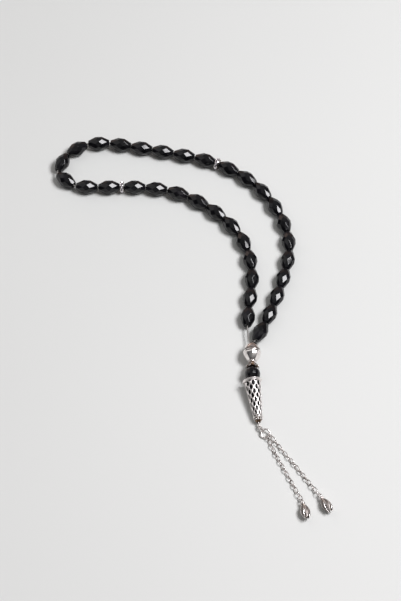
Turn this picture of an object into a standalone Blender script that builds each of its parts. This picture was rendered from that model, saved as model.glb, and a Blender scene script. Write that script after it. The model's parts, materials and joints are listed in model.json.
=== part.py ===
"""Misbaha prayer beads laid out on a table: a loop of thirty-three faceted oval beads with two
crystal spacers, closed by a silver leader, a lattice cone and a pair of chain tassels."""
import math

import bmesh
import bpy
from mathutils import Matrix, Vector

MM = 0.001

# Faceted oval beads on the loop
BEAD_COUNT = 33
BEADS_PER_GROUP = 11
BEAD_SIDES = 8
BEAD_LENGTH = 11.7 * MM
BEAD_WAIST_RADIUS = 4.0 * MM
BEAD_SHOULDER_RADIUS = 2.55 * MM
BEAD_SHOULDER_HEIGHT = 4.6 * MM
BEAD_BORE_RADIUS = 0.95 * MM
BEAD_GAP = 0.28 * MM
BEAD_EDGE_GAP = 0.12 * MM
BEAD_BEND_RADIUS = 2.036 * MM
HALF_STEP = math.pi / BEAD_SIDES
BEAD_REST_HEIGHT = BEAD_WAIST_RADIUS * math.cos(HALF_STEP)

# Rondelle spacers between the groups of beads
SPACER_RADIUS = 3.35 * MM
SPACER_THICKNESS = 1.8 * MM
SPACER_BORE_RADIUS = 0.95 * MM
SPACER_FACE_RADIUS = 2.88 * MM
SPACER_EDGE_HEIGHT = 0.56 * MM

# Stringing cord
CORD_RADIUS = 0.42 * MM
CORD_SIDES_RESOLUTION = 2
KNOT_RADIUS = 1.6 * MM

# Where the knot sits: the leader turns about this point, and the layout is measured from it
KNOT_PLACE = Vector((34.7, -20.9, 5.03)) * MM

# The cord's route on the table, from the leader's mouth up the right strand, round the loop and
# back down the left strand, in millimetres from the knot
ROUTE_FROM_KNOT = [
    (0.50, 1.85),
    (1.00, 3.10),
    (1.90, 4.90),
    (7.40, 15.4),
    (16.1, 39.6),
    (21.3, 64.4),
    (16.3, 87.4),
    (2.60, 108.2),
    (-18.7, 122.4),
    (-42.9, 129.2),
    (-67.0, 134.3),
    (-79.8, 136.6),
    (-92.4, 134.8),
    (-102.4, 125.8),
    (-104.9, 113.4),
    (-94.2, 105.6),
    (-80.6, 104.8),
    (-67.1, 105.2),
    (-42.3, 102.4),
    (-21.0, 90.4),
    (-4.60, 71.2),
    (1.10, 47.6),
    (-1.60, 23.0),
    (-2.10, 9.80),
    (-1.40, 4.20),
    (-0.50, 1.85),
]
ROUTE_RISE = 3.3 * MM
FIRST_BEAD_START = 3.4 * MM
ROUTE_SAMPLES_PER_SPAN = 160

# Leader bead, a hollow dome over a taper; heights are along its axis from the knot
DOME_RADIUS = 4.25 * MM
DOME_HEIGHT = 5.9 * MM
DOME_BASE = -3.5 * MM
MOUTH_RADIUS = 1.4 * MM
LEADER_BAND_RADIUS = 4.62 * MM
LEADER_BAND_TOP = -3.65 * MM
LEADER_BAND_BOTTOM = -4.15 * MM
LEADER_TAPER = [(4.30, -4.35), (4.58, -4.65), (4.50, -5.25), (4.02, -6.40), (3.12, -7.75),
                (2.20, -8.85)]
LEADER_NECK = -9.4 * MM
LEADER_NECK_LENGTH = 0.3 * MM
LEADER_NECK_RADIUS = 1.75 * MM
LEADER_BORE_RADIUS = 0.9 * MM
LEADER_BORE_TOP = -7.2 * MM
LEADER_HOLLOW_FOOT = (3.0 * MM, -5.9 * MM)
DOME_INNER_RADIUS = 3.5 * MM
DOME_INNER_HEIGHT = 5.0 * MM

# Flower cap and ball below the leader
CAP_TOP = -9.7 * MM
CAP_PETALS = 6
CAP_OUTLINE = [(1.70, 0.0), (1.95, -0.35), (1.70, -0.70), (1.60, -1.10), (2.60, -1.75),
               (3.20, -2.50), (3.25, -3.50)]
CAP_INNER_GAP = 0.3 * MM
CAP_INNER_DEGREES = (46.0, 30.0, 13.0)
PETAL_TOP = CAP_TOP - 1.3 * MM
PETAL_LENGTH = 2.2 * MM
PETAL_NOTCH = 0.9 * MM
PETAL_MIN_RADIUS = 2.0 * MM
BALL_RADIUS = 4.0 * MM
BALL_CENTRE = -16.7 * MM
BALL_BORE_RADIUS = 0.9 * MM
INNER_CORD_RADIUS = 0.6 * MM
INNER_CORD_TOP = -1.9 * MM

# Linked eyes in the cone's mouth: the lower cord's loop and the cone pin's eye
EYE_RADIUS = 0.8 * MM
EYE_WIRE_RADIUS = 0.3 * MM
CONE_PIVOT = -22.8 * MM

# Lattice cone; heights are along its axis from the pivot, and its mouth is above the pivot
CONE_HEADING = math.radians(7.4)
CONE_SLOPE = math.radians(7.4)
CONE_MOUTH = 2.0 * MM
CONE_RIM_RADIUS = 5.0 * MM
CONE_RIM_HEIGHT = 0.7 * MM
CONE_RIM_EDGE = 0.35 * MM
CONE_RIM_STEP = 0.1 * MM
CONE_TOP_RADIUS = 4.45 * MM
CONE_FOOT = -18.9 * MM
CONE_FOOT_RADIUS = 2.4 * MM
CONE_FOOT_RING = 2.52 * MM
CONE_FOOT_RING_HEIGHT = 0.6 * MM
LATTICE_THICKNESS = 0.5 * MM
LATTICE_DIAMONDS = 8
LATTICE_ROWS = 9
CORE_GAP = 0.3 * MM
CORE_BORE_RADIUS = 0.65 * MM
CORE_FOOT = CONE_FOOT + 0.9 * MM
CORE_HOLLOW = [(0.65, -1.8), (2.6, -1.4)]
CORE_HOLLOW_RADIUS = 2.9 * MM
END_CAP_LENGTH = 2.0 * MM
END_CAP_OUTLINE = [(2.25, 0.0), (2.35, -0.45), (1.80, -0.80), (1.75, -1.20), (1.10, -1.60),
                   (1.00, -2.00)]
PIN_RADIUS = 0.35 * MM
JOIN_OVERLAP = 0.05 * MM
FOOT_EYE_CENTRE = -22.9 * MM
FOOT_EYE_RADIUS = 0.95 * MM

# Connector links and the jump ring; headings turn from -Y towards +X, seen from above
CONNECTOR_LENGTH = 2.45 * MM
CONNECTOR_WIDTH = 1.6 * MM
CONNECTOR_WIRE_RADIUS = 0.25 * MM
CONNECTOR_HEADINGS = (math.radians(38.0), math.radians(41.0))
CONNECTOR_SLOPE = math.radians(-9.0)
RING_RADIUS = 2.2 * MM
RING_WIRE_RADIUS = 0.45 * MM
RING_LEAN = math.radians(22.0)
RING_HEADING = math.radians(41.0)
RUN_GAP = 0.2 * MM

# Fine cable chains
LINK_LENGTH = 2.92 * MM
LINK_WIDTH = 1.82 * MM
LINK_WIRE_RADIUS = 0.24 * MM
LINK_OVERLAP = 0.1 * MM
LINK_ROLL = math.radians(45.0)
CHAIN_HEIGHT = 0.93 * MM
CHAINS = {
    "left": {
        "ring_angle": math.radians(-68.0),
        "links": (4, 4, 4, 4),
        "headings": (22.0, 25.0, 25.5, 24.0),
        "charm_heading": 12.8,
    },
    "right": {
        "ring_angle": math.radians(-14.0),
        "links": (4, 4, 4, 5),
        "headings": (34.0, 36.0, 34.5, 33.0),
        "charm_heading": 29.0,
    },
}

# Leaf-bud charms at the chains' ends
CHARM_LOOP_RADIUS = 0.95 * MM
CHARM_LOOP_WIRE = 0.28 * MM
CHARM_HEIGHT = 2.0 * MM
CHARM_SLOPE = math.radians(-6.0)
BUD_LENGTH = 9.6 * MM
BUD_LEAVES = 5
BUD_OUTLINE = [(0.55, 0.0), (0.95, 0.08), (0.95, 0.15), (0.62, 0.19), (1.45, 0.30),
               (2.25, 0.44), (2.60, 0.60), (2.35, 0.76), (1.60, 0.90)]
BUD_GROOVE = 0.82
BUD_GROOVE_START = 0.2
BUD_HEART = 0.86
BUD_POINT_RADIUS = 0.75

UP = Vector((0.0, 0.0, 1.0))


# ---------------------------------------------------------------- scene and helpers

def clear_scene():
    for obj in list(bpy.data.objects):
        bpy.data.objects.remove(obj, do_unlink=True)


def new_collection(name):
    collection = bpy.data.collections.new(name)
    bpy.context.scene.collection.children.link(collection)
    return collection


def principled(name, colour, roughness, metallic):
    material = bpy.data.materials.new(name)
    material.use_nodes = True
    shader = material.node_tree.nodes["Principled BSDF"]
    shader.inputs["Base Color"].default_value = (*colour, 1.0)
    shader.inputs["Roughness"].default_value = roughness
    shader.inputs["Metallic"].default_value = metallic
    material.diffuse_color = (*colour, 1.0)
    return material


def new_object(name, mesh, collection, material=None, place=None):
    obj = bpy.data.objects.new(name, mesh)
    collection.objects.link(obj)
    if material is not None:
        if mesh.materials:
            obj.material_slots[0].link = 'OBJECT'
            obj.material_slots[0].material = material
        else:
            mesh.materials.append(material)
    if place is not None:
        obj.matrix_world = place
    return obj


def bm_to_mesh(bm, name):
    mesh = bpy.data.meshes.new(name)
    bm.to_mesh(mesh)
    bm.free()
    return mesh


def evaluated_mesh(obj):
    """The object's mesh with its modifiers, or its curve, worked out."""
    bpy.context.view_layer.update()
    depsgraph = bpy.context.evaluated_depsgraph_get()
    return bpy.data.meshes.new_from_object(obj.evaluated_get(depsgraph), depsgraph=depsgraph)


def weld(mesh, distance=0.00001):
    bm = bmesh.new()
    bm.from_mesh(mesh)
    bmesh.ops.remove_doubles(bm, verts=bm.verts, dist=distance)
    bm.to_mesh(mesh)
    bm.free()


def combined(name, base_mesh, tool_mesh, operation):
    """Union or difference of two closed meshes in the same coordinates."""
    base = new_object(name + "_base", base_mesh, cutters)
    tool = new_object(name + "_tool", tool_mesh, cutters)
    boolean = base.modifiers.new("combine", 'BOOLEAN')
    boolean.operation = operation
    boolean.solver = 'EXACT'
    boolean.object = tool
    mesh = evaluated_mesh(base)
    mesh.name = name
    bpy.data.objects.remove(base)
    bpy.data.objects.remove(tool)
    return mesh


def smooth(mesh, sharp_degrees=35.0):
    mesh.shade_smooth()
    mesh.set_sharp_from_angle(angle=math.radians(sharp_degrees))


def turned(name, profile, steps):
    """Closed (radius, height) outline turned about Z: down its outer side, back up its inner side.

    An outline whose ends are both on the axis is left open there, and the Screw welds its poles."""
    on_axis = profile[0][0] == 0.0 and profile[-1][0] == 0.0
    count = len(profile)
    edges = [(i, i + 1) for i in range(count - 1)]
    if not on_axis:
        edges.append((count - 1, 0))
    mesh = bpy.data.meshes.new(name + "_profile")
    mesh.from_pydata([(r, 0.0, z) for r, z in profile], edges, [])
    obj = new_object(name + "_profile", mesh, cutters)
    screw = obj.modifiers.new("turn", 'SCREW')
    screw.axis = 'Z'
    screw.steps = steps
    screw.render_steps = steps
    screw.use_merge_vertices = True
    screw.merge_threshold = 0.000001
    result = evaluated_mesh(obj)
    result.name = name
    bpy.data.objects.remove(obj)
    return result


def cylinder_mesh(name, radius, bottom, top, segments, turn=0.0):
    bm = bmesh.new()
    bmesh.ops.create_cone(bm, cap_ends=True, segments=segments, radius1=radius, radius2=radius,
                          depth=top - bottom)
    bmesh.ops.transform(bm, verts=bm.verts,
                        matrix=Matrix.Translation((0, 0, (top + bottom) / 2))
                        @ Matrix.Rotation(turn, 4, 'Z'))
    return bm_to_mesh(bm, name)


def torus_mesh(name, radius, wire_radius, around, across, length=0.0):
    """A wire ring in the XZ plane; a length stretches it along Z into an oval link."""
    bpy.ops.mesh.primitive_torus_add(major_segments=around, minor_segments=across,
                                     major_radius=radius, minor_radius=wire_radius)
    obj = bpy.context.object
    mesh = obj.data
    mesh.name = name
    for vertex in mesh.vertices:
        x, y, z = vertex.co
        shift = 0.0 if abs(y) < wire_radius * 0.01 else math.copysign(length / 2, y)
        vertex.co = (x, -z, y + shift)
    bpy.data.objects.remove(obj)
    return mesh


def moved(mesh, matrix):
    copy = mesh.copy()
    copy.transform(matrix)
    return copy


def frame_along(place, direction, roll=0.0):
    """Matrix at a place whose +Z points back along a direction of hanging, with +X level."""
    back = -direction.normalized()
    side = UP.cross(back).normalized()
    over = back.cross(side)
    turn = Matrix((side, over, back)).transposed().to_4x4()
    return Matrix.Translation(place) @ turn @ Matrix.Rotation(roll, 4, 'Z')


def heading_vector(heading, slope=0.0):
    """Unit vector at a heading from -Y towards +X, falling by a slope."""
    level = math.cos(slope)
    return Vector((math.sin(heading) * level, -math.cos(heading) * level, -math.sin(slope)))


# ---------------------------------------------------------------- route of the cord

def catmull_rom(points, samples):
    """Smooth curve through the points, as closely spaced samples."""
    padded = [points[0] * 2 - points[1]] + points + [points[-1] * 2 - points[-2]]
    curve = []
    for a, b, c, d in zip(padded, padded[1:], padded[2:], padded[3:]):
        for step in range(samples):
            t = step / samples
            curve.append(0.5 * (2 * b + (c - a) * t + (2 * a - 5 * b + 4 * c - d) * t ** 2
                                + (3 * b - a - 3 * c + d) * t ** 3))
    curve.append(points[-1])
    return curve


def lift_ends(curve):
    """Raise the strands' ends from the beads' bore height to the leader's axis."""
    drop = KNOT_PLACE.z - BEAD_REST_HEIGHT
    for point in curve:
        away = min((point.xy - end.xy).length for end in (curve[0], curve[-1]))
        share = min(1.0, away / ROUTE_RISE)
        point.z = KNOT_PLACE.z - drop * share * share * (3 - 2 * share)
    return curve


def walk(curve, start, distance):
    """Index of the first sample at least this far, in a straight line, from the start sample."""
    for index in range(start, len(curve)):
        if (curve[index] - curve[start]).length >= distance:
            return index
    raise ValueError("the route is too short for the beads")


def bend_gap(before, after):
    """Gap that keeps the end faces of two beads apart where the cord bends."""
    turn = before.angle(after)
    return max(BEAD_GAP, BEAD_EDGE_GAP + 2 * BEAD_BEND_RADIUS * math.tan(turn / 2))


def string_beads(curve):
    """Ends of every bead and spacer, one chord of the route after another."""
    beads = []
    spacers = []
    at = walk(curve, 0, FIRST_BEAD_START)
    for number in range(1, BEAD_COUNT + 1):
        end = walk(curve, at, BEAD_LENGTH)
        beads.append((curve[at], curve[end]))
        if number == BEAD_COUNT:
            break
        along = curve[end] - curve[at]
        gap = BEAD_GAP
        if number % BEADS_PER_GROUP == 0:
            gap = SPACER_THICKNESS + 2 * BEAD_GAP
        for _ in range(3):
            start = walk(curve, end, gap)
            follow = curve[walk(curve, start, BEAD_LENGTH)] - curve[start]
            if number % BEADS_PER_GROUP:
                gap = bend_gap(along, follow)
        if number % BEADS_PER_GROUP == 0:
            spacers.append((curve[end], curve[start]))
        at = start
    return beads, spacers


# ---------------------------------------------------------------- beads, spacers and cord

# The middle facets are upright, so the ring above the waist lies on the waist's flats; the
# upper facets are flat when their four corners share a plane, which sets the other sizes
SHARE = math.cos(HALF_STEP)
BEAD_UPPER_RADIUS = BEAD_WAIST_RADIUS * SHARE
BEAD_UPPER_HEIGHT = (BEAD_SHOULDER_HEIGHT * BEAD_WAIST_RADIUS * (1 - SHARE ** 2)
                     / (BEAD_WAIST_RADIUS - BEAD_SHOULDER_RADIUS))
UPPER_SLOPE = ((BEAD_SHOULDER_RADIUS * SHARE - BEAD_UPPER_RADIUS)
               / (BEAD_SHOULDER_HEIGHT - BEAD_UPPER_HEIGHT))
BEAD_END_RADIUS = BEAD_UPPER_RADIUS + UPPER_SLOPE * (BEAD_LENGTH / 2 - BEAD_UPPER_HEIGHT)


def oval_bead_mesh():
    half = [
        (BEAD_UPPER_RADIUS, BEAD_UPPER_HEIGHT, 0.0),
        (BEAD_SHOULDER_RADIUS, BEAD_SHOULDER_HEIGHT, HALF_STEP),
        (BEAD_END_RADIUS, BEAD_LENGTH / 2, 0.0),
    ]
    rings = [(BEAD_WAIST_RADIUS, 0.0, HALF_STEP)] + half
    rings += [(radius, -height, turn) for radius, height, turn in half]
    bm = bmesh.new()
    for radius, height, turn in rings:
        for side in range(BEAD_SIDES):
            angle = 2 * HALF_STEP * side + turn
            bm.verts.new((radius * math.cos(angle), radius * math.sin(angle), height))
    bmesh.ops.convex_hull(bm, input=bm.verts)
    bmesh.ops.dissolve_limit(bm, angle_limit=math.radians(0.5), verts=bm.verts, edges=bm.edges)
    body = bm_to_mesh(bm, "oval_bead_body")
    bore = cylinder_mesh("oval_bead_bore", BEAD_BORE_RADIUS, -BEAD_LENGTH, BEAD_LENGTH, BEAD_SIDES)
    return combined("oval_bead", body, bore, 'DIFFERENCE')


def make_beads(beads):
    mesh = oval_bead_mesh()
    for number, (start, end) in enumerate(beads, 1):
        place = frame_along((start + end) / 2, end - start)
        new_object(f"bead_{number:02d}", mesh, parts, black_glass, place)


def make_spacers(spacers):
    half = SPACER_THICKNESS / 2
    profile = [
        (SPACER_BORE_RADIUS, half),
        (SPACER_FACE_RADIUS, half),
        (SPACER_RADIUS, SPACER_EDGE_HEIGHT),
        (SPACER_RADIUS, -SPACER_EDGE_HEIGHT),
        (SPACER_FACE_RADIUS, -half),
        (SPACER_BORE_RADIUS, -half),
    ]
    mesh = turned("rondelle", profile, 20)
    smooth(mesh)
    for number, (start, end) in enumerate(spacers, 1):
        place = frame_along((start + end) / 2, end - start)
        new_object(f"spacer_{number}", mesh, parts, crystal_silver, place)


def make_cord(curve, beads):
    """One tube through every bore, with a point at each bead's end faces."""
    first_start = curve.index(beads[0][0])
    first_stretch = [curve[first_start * part // 3] for part in range(3)]
    last_start = curve.index(beads[-1][1])
    left = len(curve) - 1 - last_start
    last_stretch = [curve[last_start + left * part // 5] for part in (1, 2, 3, 4)]
    points = first_stretch + [end for bead in beads for end in bead]
    points += last_stretch + [curve[-1]]
    data = bpy.data.curves.new("cord_route", 'CURVE')
    data.dimensions = '3D'
    spline = data.splines.new('POLY')
    spline.points.add(len(points) - 1)
    for point, place in zip(spline.points, points):
        point.co = (*place, 1.0)
    data.bevel_depth = CORD_RADIUS
    data.bevel_resolution = CORD_SIDES_RESOLUTION
    data.use_fill_caps = True
    route = bpy.data.objects.new("cord_route", data)
    cutters.objects.link(route)
    mesh = evaluated_mesh(route)
    place = route.matrix_world.copy()
    bpy.data.objects.remove(route)
    weld(mesh)
    smooth(mesh, 60.0)
    new_object("cord_loop", mesh, parts, silver_cord, place)


def make_knot():
    bm = bmesh.new()
    bmesh.ops.create_uvsphere(bm, u_segments=12, v_segments=8, radius=KNOT_RADIUS)
    mesh = bm_to_mesh(bm, "cord_knot")
    smooth(mesh)
    new_object("cord_knot", mesh, parts, silver_cord, Matrix.Translation(KNOT_PLACE))


# ---------------------------------------------------------------- leader, cap and ball

def dome_outline(radius, height, base, first_angle, last_angle, count):
    """Points on an upright ellipse, by angle from the pole."""
    points = []
    for step in range(count):
        angle = first_angle + (last_angle - first_angle) * step / (count - 1)
        points.append((radius * math.sin(angle), base + height * math.cos(angle)))
    return points


def make_leader(place):
    outer_start = math.asin(MOUTH_RADIUS / DOME_RADIUS)
    inner_start = math.asin(MOUTH_RADIUS / DOME_INNER_RADIUS)
    quarter = math.pi / 2
    profile = dome_outline(DOME_RADIUS, DOME_HEIGHT, DOME_BASE, outer_start, quarter, 6)
    profile += [(LEADER_BAND_RADIUS, LEADER_BAND_TOP), (LEADER_BAND_RADIUS, LEADER_BAND_BOTTOM)]
    profile += [(radius * MM, height * MM) for radius, height in LEADER_TAPER]
    profile += [
        (LEADER_NECK_RADIUS, LEADER_NECK + LEADER_NECK_LENGTH),
        (LEADER_NECK_RADIUS, LEADER_NECK),
        (LEADER_BORE_RADIUS, LEADER_NECK),
        (LEADER_BORE_RADIUS, LEADER_BORE_TOP),
        LEADER_HOLLOW_FOOT,
    ]
    inner = dome_outline(DOME_INNER_RADIUS, DOME_INNER_HEIGHT, DOME_BASE, inner_start, quarter, 5)
    profile += reversed(inner)
    mesh = turned("leader_bead", profile, 20)
    smooth(mesh)
    new_object("leader_bead", mesh, parts, silver, place)


def make_flower_cap(place):
    """A ribbed collar over petals that close on the ball."""
    profile = [(BALL_BORE_RADIUS, CAP_TOP)]
    profile += [(radius * MM, CAP_TOP + depth * MM) for radius, depth in CAP_OUTLINE]
    inner_radius = BALL_RADIUS + CAP_INNER_GAP
    for degrees in CAP_INNER_DEGREES:
        turn = math.radians(degrees)
        profile.append((inner_radius * math.sin(turn), BALL_CENTRE + inner_radius * math.cos(turn)))
    mesh = turned("flower_cap", profile, 4 * CAP_PETALS)
    for vertex in mesh.vertices:
        depth = PETAL_TOP - vertex.co.z
        radius = math.hypot(vertex.co.x, vertex.co.y)
        if depth > 0 and radius > PETAL_MIN_RADIUS:
            angle = math.atan2(vertex.co.y, vertex.co.x)
            wave = 0.5 - 0.5 * math.cos(CAP_PETALS * angle)
            vertex.co.z += PETAL_NOTCH * wave * min(1.0, depth / PETAL_LENGTH)
    smooth(mesh)
    new_object("leader_flower_cap", mesh, parts, silver, place)


def make_ball(place):
    bm = bmesh.new()
    bmesh.ops.create_uvsphere(bm, u_segments=16, v_segments=10, radius=BALL_RADIUS)
    body = bm_to_mesh(bm, "ball_body")
    bore = cylinder_mesh("ball_bore", BALL_BORE_RADIUS, -2 * BALL_RADIUS, 2 * BALL_RADIUS, 16)
    mesh = combined("leader_ball", body, bore, 'DIFFERENCE')
    new_object("leader_ball", mesh, parts, black_glass,
               place @ Matrix.Translation((0, 0, BALL_CENTRE)))


def make_inner_cord(place):
    """The doubled cord below the knot, ending in a loop in the cone's mouth."""
    loop_centre = CONE_PIVOT + EYE_RADIUS
    rod = cylinder_mesh("inner_cord_rod", INNER_CORD_RADIUS,
                        loop_centre + EYE_RADIUS - 2 * JOIN_OVERLAP, INNER_CORD_TOP, 10)
    loop = torus_mesh("inner_cord_loop", EYE_RADIUS, EYE_WIRE_RADIUS, 14, 6)
    upright = Matrix.Translation((0, 0, loop_centre)) @ Matrix.Rotation(math.pi / 2, 4, 'Z')
    loop.transform(upright)
    mesh = combined("leader_cord", rod, loop, 'UNION')
    smooth(mesh)
    new_object("leader_cord", mesh, parts, silver_cord, place)


# ---------------------------------------------------------------- lattice cone

def lattice_radius(height):
    """Middle of the lattice wall at a height along the cone."""
    top = CONE_MOUTH - CONE_RIM_HEIGHT
    share = (top - height) / (top - CONE_FOOT)
    return CONE_TOP_RADIUS + (CONE_FOOT_RADIUS - CONE_TOP_RADIUS) * share - LATTICE_THICKNESS / 2


def make_lattice(place):
    """A net of diamonds between a flared rim and a foot ring."""
    top = CONE_MOUTH - CONE_RIM_HEIGHT / 2
    bottom = CONE_FOOT + CONE_FOOT_RING_HEIGHT / 2
    step = math.pi / LATTICE_DIAMONDS
    points = []
    for level in range(LATTICE_ROWS + 1):
        height = top + (bottom - top) * level / LATTICE_ROWS
        radius = lattice_radius(height)
        for side in range(LATTICE_DIAMONDS):
            angle = 2 * step * side + step * (level % 2)
            points.append((radius * math.cos(angle), radius * math.sin(angle), height))
    rim = turned("cone_rim", [
        (CONE_RIM_RADIUS, CONE_MOUTH),
        (CONE_RIM_RADIUS, CONE_MOUTH - CONE_RIM_EDGE),
        (CONE_TOP_RADIUS + CONE_RIM_STEP, CONE_MOUTH - CONE_RIM_HEIGHT),
        (CONE_TOP_RADIUS - LATTICE_THICKNESS, CONE_MOUTH - CONE_RIM_HEIGHT),
        (CONE_TOP_RADIUS - LATTICE_THICKNESS + CONE_RIM_STEP, CONE_MOUTH),
    ], 24)
    foot = turned("cone_foot", [
        (CONE_FOOT_RING, CONE_FOOT + CONE_FOOT_RING_HEIGHT),
        (CONE_FOOT_RING, CONE_FOOT),
        (CONE_FOOT_RADIUS - LATTICE_THICKNESS, CONE_FOOT),
        (CONE_FOOT_RADIUS - LATTICE_THICKNESS, CONE_FOOT + CONE_FOOT_RING_HEIGHT),
    ], 24)
    net = lattice_net(points)
    mesh = combined("cone_lattice_top", net, rim, 'UNION')
    mesh = combined("cone_lattice", mesh, foot, 'UNION')
    new_object("cone_lattice", mesh, parts, silver, place)


def lattice_net(points):
    """Struts along the diamonds' sides, as one closed skin."""
    faces = []
    across = LATTICE_DIAMONDS
    for level in range(LATTICE_ROWS - 1):
        for side in range(across):
            shift = side + 1 if level % 2 else side
            left = (level + 1) * across + (shift - 1) % across
            right = (level + 1) * across + shift % across
            faces.append((level * across + side, left, (level + 2) * across + side, right))
    sheet = bpy.data.meshes.new("lattice_sheet")
    sheet.from_pydata(points, [], faces)
    obj = new_object("lattice_sheet", sheet, cutters)
    wire = obj.modifiers.new("struts", 'WIREFRAME')
    wire.thickness = LATTICE_THICKNESS
    wire.use_even_offset = True
    wire.use_boundary = True
    wire.use_replace = True
    mesh = evaluated_mesh(obj)
    bpy.data.objects.remove(obj)
    return mesh


def make_cone_core(place):
    """Black core that shows through the lattice, hollow at the mouth."""
    top = CONE_MOUTH - CONE_RIM_HEIGHT
    inset = LATTICE_THICKNESS / 2 + CORE_GAP
    profile = [
        (lattice_radius(top) - inset, top),
        (lattice_radius(CORE_FOOT) - inset, CORE_FOOT),
        (CORE_BORE_RADIUS, CORE_FOOT),
    ]
    profile += [(radius * MM, height * MM) for radius, height in CORE_HOLLOW]
    profile.append((CORE_HOLLOW_RADIUS, top))
    mesh = turned("cone_core", profile, 24)
    smooth(mesh)
    new_object("cone_core", mesh, parts, black_glass, place)


def make_end_cap(place):
    top = CONE_FOOT - CORE_GAP
    profile = [(CORE_BORE_RADIUS, top)]
    profile += [(radius * MM, top + depth * MM) for radius, depth in END_CAP_OUTLINE]
    profile.append((CORE_BORE_RADIUS, top - END_CAP_LENGTH))
    mesh = turned("cone_end_cap", profile, 20)
    smooth(mesh)
    new_object("cone_end_cap", mesh, parts, silver, place)


def make_cone_pin(place):
    """Pin through the core with an eye at each end."""
    top_eye = torus_mesh("pin_top_eye", EYE_RADIUS, EYE_WIRE_RADIUS, 14, 6)
    foot_eye = torus_mesh("pin_foot_eye", FOOT_EYE_RADIUS, PIN_RADIUS, 14, 6)
    foot_eye.transform(Matrix.Translation((0, 0, FOOT_EYE_CENTRE))
                       @ Matrix.Rotation(math.pi / 2, 4, 'Z'))
    rod = cylinder_mesh("pin_rod", PIN_RADIUS, FOOT_EYE_CENTRE + FOOT_EYE_RADIUS - JOIN_OVERLAP,
                        -EYE_RADIUS + JOIN_OVERLAP, 10)
    mesh = combined("cone_pin_upper", rod, top_eye, 'UNION')
    mesh = combined("cone_pin", mesh, foot_eye, 'UNION')
    smooth(mesh)
    new_object("cone_pin", mesh, parts, silver, place)


# ---------------------------------------------------------------- links, ring and chains

def make_connectors(eye_centre, cone_direction):
    """Two small links between the pin's lower eye and the jump ring."""
    mesh = torus_mesh("connector_link", CONNECTOR_WIDTH / 2, CONNECTOR_WIRE_RADIUS, 12, 6,
                      CONNECTOR_LENGTH - CONNECTOR_WIDTH)
    mesh.transform(Matrix.Translation((0, 0, -CONNECTOR_LENGTH / 2)))
    smooth(mesh)
    post = eye_centre + cone_direction * FOOT_EYE_RADIUS
    post_radius = PIN_RADIUS
    for number, heading in enumerate(CONNECTOR_HEADINGS, 1):
        direction = heading_vector(heading, CONNECTOR_SLOPE)
        hold = post_radius + CONNECTOR_WIRE_RADIUS + RUN_GAP
        start = post - direction * hold
        level = number == 1
        pivot = post if level else start
        place = frame_along(pivot, direction, 0.0 if level else math.pi / 2)
        link = moved(mesh, Matrix.Translation((0, 0, hold))) if level else mesh
        new_object(f"connector_link_{number}", link, parts, silver, place)
        post = start + direction * CONNECTOR_LENGTH
        post_radius = CONNECTOR_WIRE_RADIUS
    return post


def make_ring(post):
    """Jump ring that leans on the last connector link."""
    direction = heading_vector(RING_HEADING, CONNECTOR_SLOPE)
    wire_centre = post - direction * (CONNECTOR_WIRE_RADIUS + RING_WIRE_RADIUS + RUN_GAP)
    across = Matrix.Rotation(RING_LEAN, 3, 'X')
    toward_link = math.pi / 2 + RING_HEADING
    from_centre = across @ (Vector((math.cos(toward_link), math.sin(toward_link), 0)) * RING_RADIUS)
    centre = wire_centre - from_centre
    mesh = torus_mesh("tassel_ring", RING_RADIUS, RING_WIRE_RADIUS, 20, 8)
    mesh.transform(Matrix.Translation(centre - post) @ across.to_4x4()
                   @ Matrix.Rotation(math.pi / 2, 4, 'X'))
    smooth(mesh)
    new_object("tassel_ring", mesh, parts, silver, Matrix.Translation(post))
    return centre, across


def chain_run_mesh(count):
    """Links one through another along -Z, united where they touch; the first wire is at Z = 0."""
    link = torus_mesh("chain_link", LINK_WIDTH / 2, LINK_WIRE_RADIUS, 12, 5,
                      LINK_LENGTH - LINK_WIDTH)
    link.transform(Matrix.Translation((0, 0, -LINK_LENGTH / 2)))
    pitch = LINK_LENGTH - 2 * LINK_WIRE_RADIUS + LINK_OVERLAP
    run = None
    for number in range(count):
        roll = LINK_ROLL if number % 2 == 0 else -LINK_ROLL
        here = Matrix.Translation((0, 0, -pitch * number)) @ Matrix.Rotation(roll, 4, 'Z')
        piece = moved(link, here)
        run = piece if run is None else combined("chain_run", run, piece, 'UNION')
    smooth(run)
    return run, pitch * (count - 1) + LINK_LENGTH


def make_chain(side, settings, ring_centre, ring_turn):
    """One chain from the ring to its charm, in short runs of links."""
    angle = settings["ring_angle"]
    on_ring = Vector((math.cos(angle), math.sin(angle), 0)) * RING_RADIUS
    pivot = ring_centre + ring_turn @ on_ring
    hold = RING_WIRE_RADIUS + LINK_WIRE_RADIUS + RUN_GAP
    half_hold = LINK_WIRE_RADIUS + RUN_GAP / 2
    runs = len(settings["links"])
    for number, (count, heading) in enumerate(zip(settings["links"], settings["headings"]), 1):
        mesh, length = run_meshes[count]
        reach = length - half_hold - hold
        end_height = CHARM_HEIGHT if number == runs else CHAIN_HEIGHT
        slope = math.asin((pivot.z - end_height) / reach)
        direction = heading_vector(math.radians(heading), slope)
        run = moved(mesh, Matrix.Translation((0, 0, hold)))
        new_object(f"chain_{side}_{number}", run, parts, silver, frame_along(pivot, direction))
        pivot = pivot + direction * reach
        hold = half_hold
    return pivot


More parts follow.
